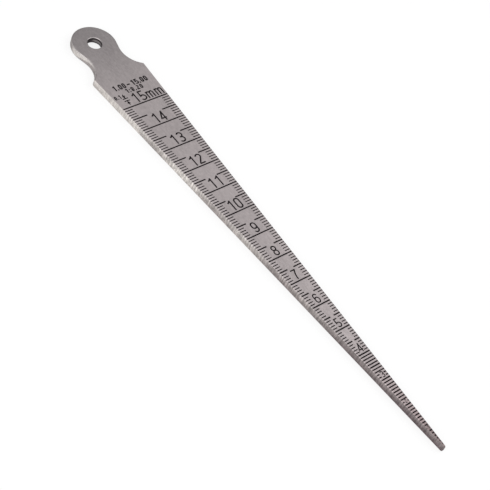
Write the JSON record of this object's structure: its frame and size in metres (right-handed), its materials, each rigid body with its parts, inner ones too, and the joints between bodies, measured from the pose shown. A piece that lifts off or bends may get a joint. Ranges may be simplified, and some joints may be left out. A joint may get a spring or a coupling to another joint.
{
  "type": "taper gauge",
  "caption": "Flat stainless wedge with an engraved scale that reads the width of a slot or the bore of a hole; the rounded head has a hang hole.",
  "frame": {"origin": "middle of the gauge's box in plan, on the plain back face it lies on", "axes": "+Y along the gauge from the tip to the head, +X to the right of the numerals, +Z out of the engraved face"},
  "size_m": [0.0164, 0.1498, 0.0022],
  "materials": {
    "ground_steel": "satin ground, brighter and cross-ground on the edges",
    "scale_enamel": "matt black enamel, wiped flush into the grooves"
  },
  "bodies": {
    "root": {"blade": "ground_steel", "millimetre_lines": "scale_enamel", "half_lines": "scale_enamel", "tenth_lines": "scale_enamel", "numerals": "scale_enamel", "unit_sign": "scale_enamel", "range_numbers": "scale_enamel", "taper_ratio": "scale_enamel", "resolution_number": "scale_enamel", "gap_sign": "scale_enamel"}
  },
  "joints": []
}
